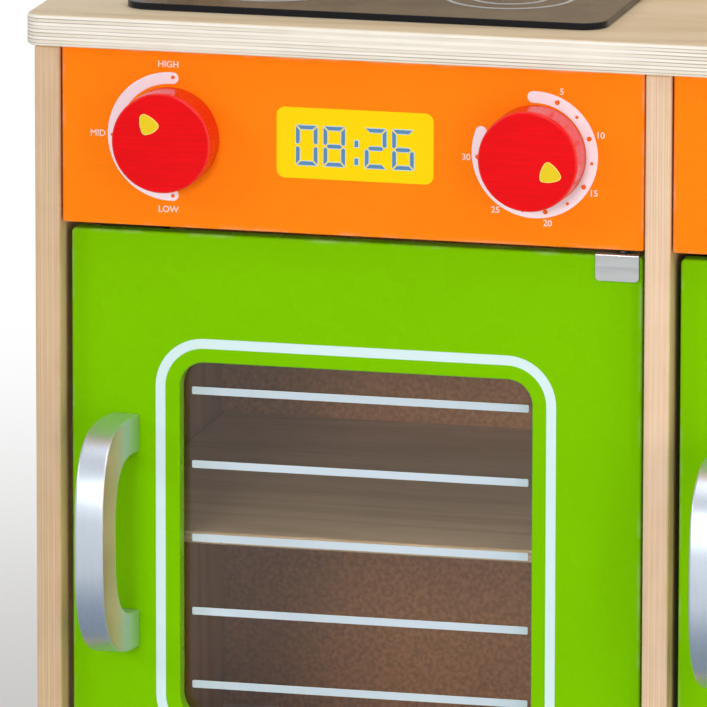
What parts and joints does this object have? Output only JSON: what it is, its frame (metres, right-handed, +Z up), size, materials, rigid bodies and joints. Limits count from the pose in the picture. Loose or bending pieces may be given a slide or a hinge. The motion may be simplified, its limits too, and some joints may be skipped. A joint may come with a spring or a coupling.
{
  "type": "play kitchen",
  "caption": "Child's wooden play kitchen with a windowed oven door, a cupboard door, control knobs, a hob, a sink bowl with a swivelling tap, and an upper shelf.",
  "frame": {"origin": "on the floor, under the middle of the overall box", "axes": "+Z up, -Y towards the child who plays at it, +X to that child's right"},
  "size_m": [0.604, 0.3596, 0.7229],
  "materials": {
    "back_panel": "hardboard",
    "cheek_left": "clear-varnished plywood",
    "cheek_right": "clear-varnished plywood",
    "control_panel": "gloss paint",
    "cupboard_base_board": "clear-varnished plywood",
    "cupboard_catch": "nylon",
    "cupboard_door_panel": "gloss paint",
    "cupboard_handle": "silver paint",
    "cupboard_handle_screw_lower": "zinc-plated",
    "cupboard_handle_screw_upper": "zinc-plated",
    "cupboard_lower_bush": "nylon",
    "cupboard_lower_clip": "zinc-plated",
    "cupboard_plinth": "clear-varnished plywood",
    "cupboard_strike_plate": "zinc-plated",
    "cupboard_top_board": "clear-varnished plywood",
    "cupboard_upper_bush": "nylon",
    "cupboard_upper_clip": "zinc-plated",
    "divider_panel": "clear-varnished plywood",
    "heat_knob": "gloss paint",
    "heat_knob_bolt": "zinc-plated",
    "hob_plate": "gloss paint",
    "oven_base_board": "clear-varnished plywood",
    "oven_catch": "nylon",
    "oven_door_pane": "clear acrylic sheet",
    "oven_door_panel": "gloss paint",
    "oven_handle": "silver paint",
    "oven_handle_screw_lower": "zinc-plated",
    "oven_handle_screw_upper": "zinc-plated",
    "oven_lower_bush": "nylon",
    "oven_lower_clip": "zinc-plated",
    "oven_pane_screw_lower_left": "zinc-plated",
    "oven_pane_screw_lower_right": "zinc-plated",
    "oven_pane_screw_upper_left": "zinc-plated",
    "oven_pane_screw_upper_right": "zinc-plated",
    "oven_plinth": "clear-varnished plywood",
    "oven_shelf": "clear-varnished plywood",
    "oven_strike_plate": "zinc-plated",
    "oven_top_board": "clear-varnished plywood",
    "oven_upper_bush": "nylon",
    "oven_upper_clip": "zinc-plated",
    "shelf_peg_back_left": "bare beech",
    "shelf_peg_back_right": "bare beech",
    "shelf_peg_front_left": "bare beech",
    "shelf_peg_front_right": "bare beech",
    "side_panel_left": "clear-varnished plywood",
    "side_panel_right": "clear-varnished plywood",
    "sink_bowl": "brushed",
    "sink_fascia": "gloss paint",
    "splashback": "clear-varnished plywood",
    "tap_base": "silver paint",
    "tap_knob_left": "gloss paint",
    "tap_knob_right": "gloss paint",
    "tap_spout": "silver paint",
    "timer_knob": "gloss paint",
    "timer_knob_bolt": "zinc-plated",
    "upper_shelf": "clear-varnished plywood",
    "worktop": "clear-varnished plywood"
  },
  "bodies": {
    "carcass": {"back_panel": "back_panel", "cheek_left": "cheek_left", "cheek_right": "cheek_right", "control_panel": "control_panel", "cupboard_base_board": "cupboard_base_board", "cupboard_catch": "cupboard_catch", "cupboard_lower_bush": "cupboard_lower_bush", "cupboard_plinth": "cupboard_plinth", "cupboard_top_board": "cupboard_top_board", "cupboard_upper_bush": "cupboard_upper_bush", "divider_panel": "divider_panel", "hob_plate": "hob_plate", "oven_base_board": "oven_base_board", "oven_catch": "oven_catch", "oven_lower_bush": "oven_lower_bush", "oven_plinth": "oven_plinth", "oven_shelf": "oven_shelf", "oven_top_board": "oven_top_board", "oven_upper_bush": "oven_upper_bush", "shelf_peg_back_left": "shelf_peg_back_left", "shelf_peg_back_right": "shelf_peg_back_right", "shelf_peg_front_left": "shelf_peg_front_left", "shelf_peg_front_right": "shelf_peg_front_right", "side_panel_left": "side_panel_left", "side_panel_right": "side_panel_right", "sink_bowl": "sink_bowl", "sink_fascia": "sink_fascia", "splashback": "splashback", "tap_base": "tap_base", "upper_shelf": "upper_shelf", "worktop": "worktop"},
    "oven_door": {"oven_door_pane": "oven_door_pane", "oven_door_panel": "oven_door_panel", "oven_handle": "oven_handle", "oven_handle_screw_lower": "oven_handle_screw_lower", "oven_handle_screw_upper": "oven_handle_screw_upper", "oven_lower_clip": "oven_lower_clip", "oven_pane_screw_lower_left": "oven_pane_screw_lower_left", "oven_pane_screw_lower_right": "oven_pane_screw_lower_right", "oven_pane_screw_upper_left": "oven_pane_screw_upper_left", "oven_pane_screw_upper_right": "oven_pane_screw_upper_right", "oven_strike_plate": "oven_strike_plate", "oven_upper_clip": "oven_upper_clip"},
    "cupboard_door": {"cupboard_door_panel": "cupboard_door_panel", "cupboard_handle": "cupboard_handle", "cupboard_handle_screw_lower": "cupboard_handle_screw_lower", "cupboard_handle_screw_upper": "cupboard_handle_screw_upper", "cupboard_lower_clip": "cupboard_lower_clip", "cupboard_strike_plate": "cupboard_strike_plate", "cupboard_upper_clip": "cupboard_upper_clip"},
    "heat_control": {"heat_knob": "heat_knob", "heat_knob_bolt": "heat_knob_bolt"},
    "timer_control": {"timer_knob": "timer_knob", "timer_knob_bolt": "timer_knob_bolt"},
    "spout": {"tap_spout": "tap_spout"},
    "left_tap": {"tap_knob_left": "tap_knob_left"},
    "right_tap": {"tap_knob_right": "tap_knob_right"}
  },
  "joints": [
    {"name": "oven_door_hinge", "type": "hinge", "parent": "carcass", "child": "oven_door", "pos_m": [-0.019, -0.11025, 0.2092], "axis": [0, 0, 1], "range_deg": [0, 105]},
    {"name": "cupboard_door_hinge", "type": "hinge", "parent": "carcass", "child": "cupboard_door", "pos_m": [0.273, -0.11025, 0.2092], "axis": [0, 0, 1], "range_deg": [0, 105]},
    {"name": "heat_knob_turn", "type": "hinge", "parent": "carcass", "child": "heat_control", "pos_m": [-0.2329, -0.12295, 0.4044], "axis": [0, 1, 0], "continuous": true},
    {"name": "timer_knob_turn", "type": "hinge", "parent": "carcass", "child": "timer_control", "pos_m": [-0.0581, -0.12295, 0.4044], "axis": [0, 1, 0], "continuous": true},
    {"name": "spout_swivel", "type": "hinge", "parent": "carcass", "child": "spout", "pos_m": [0.146, 0.11767, 0.4603], "axis": [0, 0, 1], "range_deg": [-100, 100]},
    {"name": "tap_knob_left_turn", "type": "hinge", "parent": "carcass", "child": "left_tap", "pos_m": [0.096, 0.11767, 0.4603], "axis": [0, 0, 1], "continuous": true},
    {"name": "tap_knob_right_turn", "type": "hinge", "parent": "carcass", "child": "right_tap", "pos_m": [0.196, 0.11767, 0.4603], "axis": [0, 0, 1], "continuous": true}
  ]
}
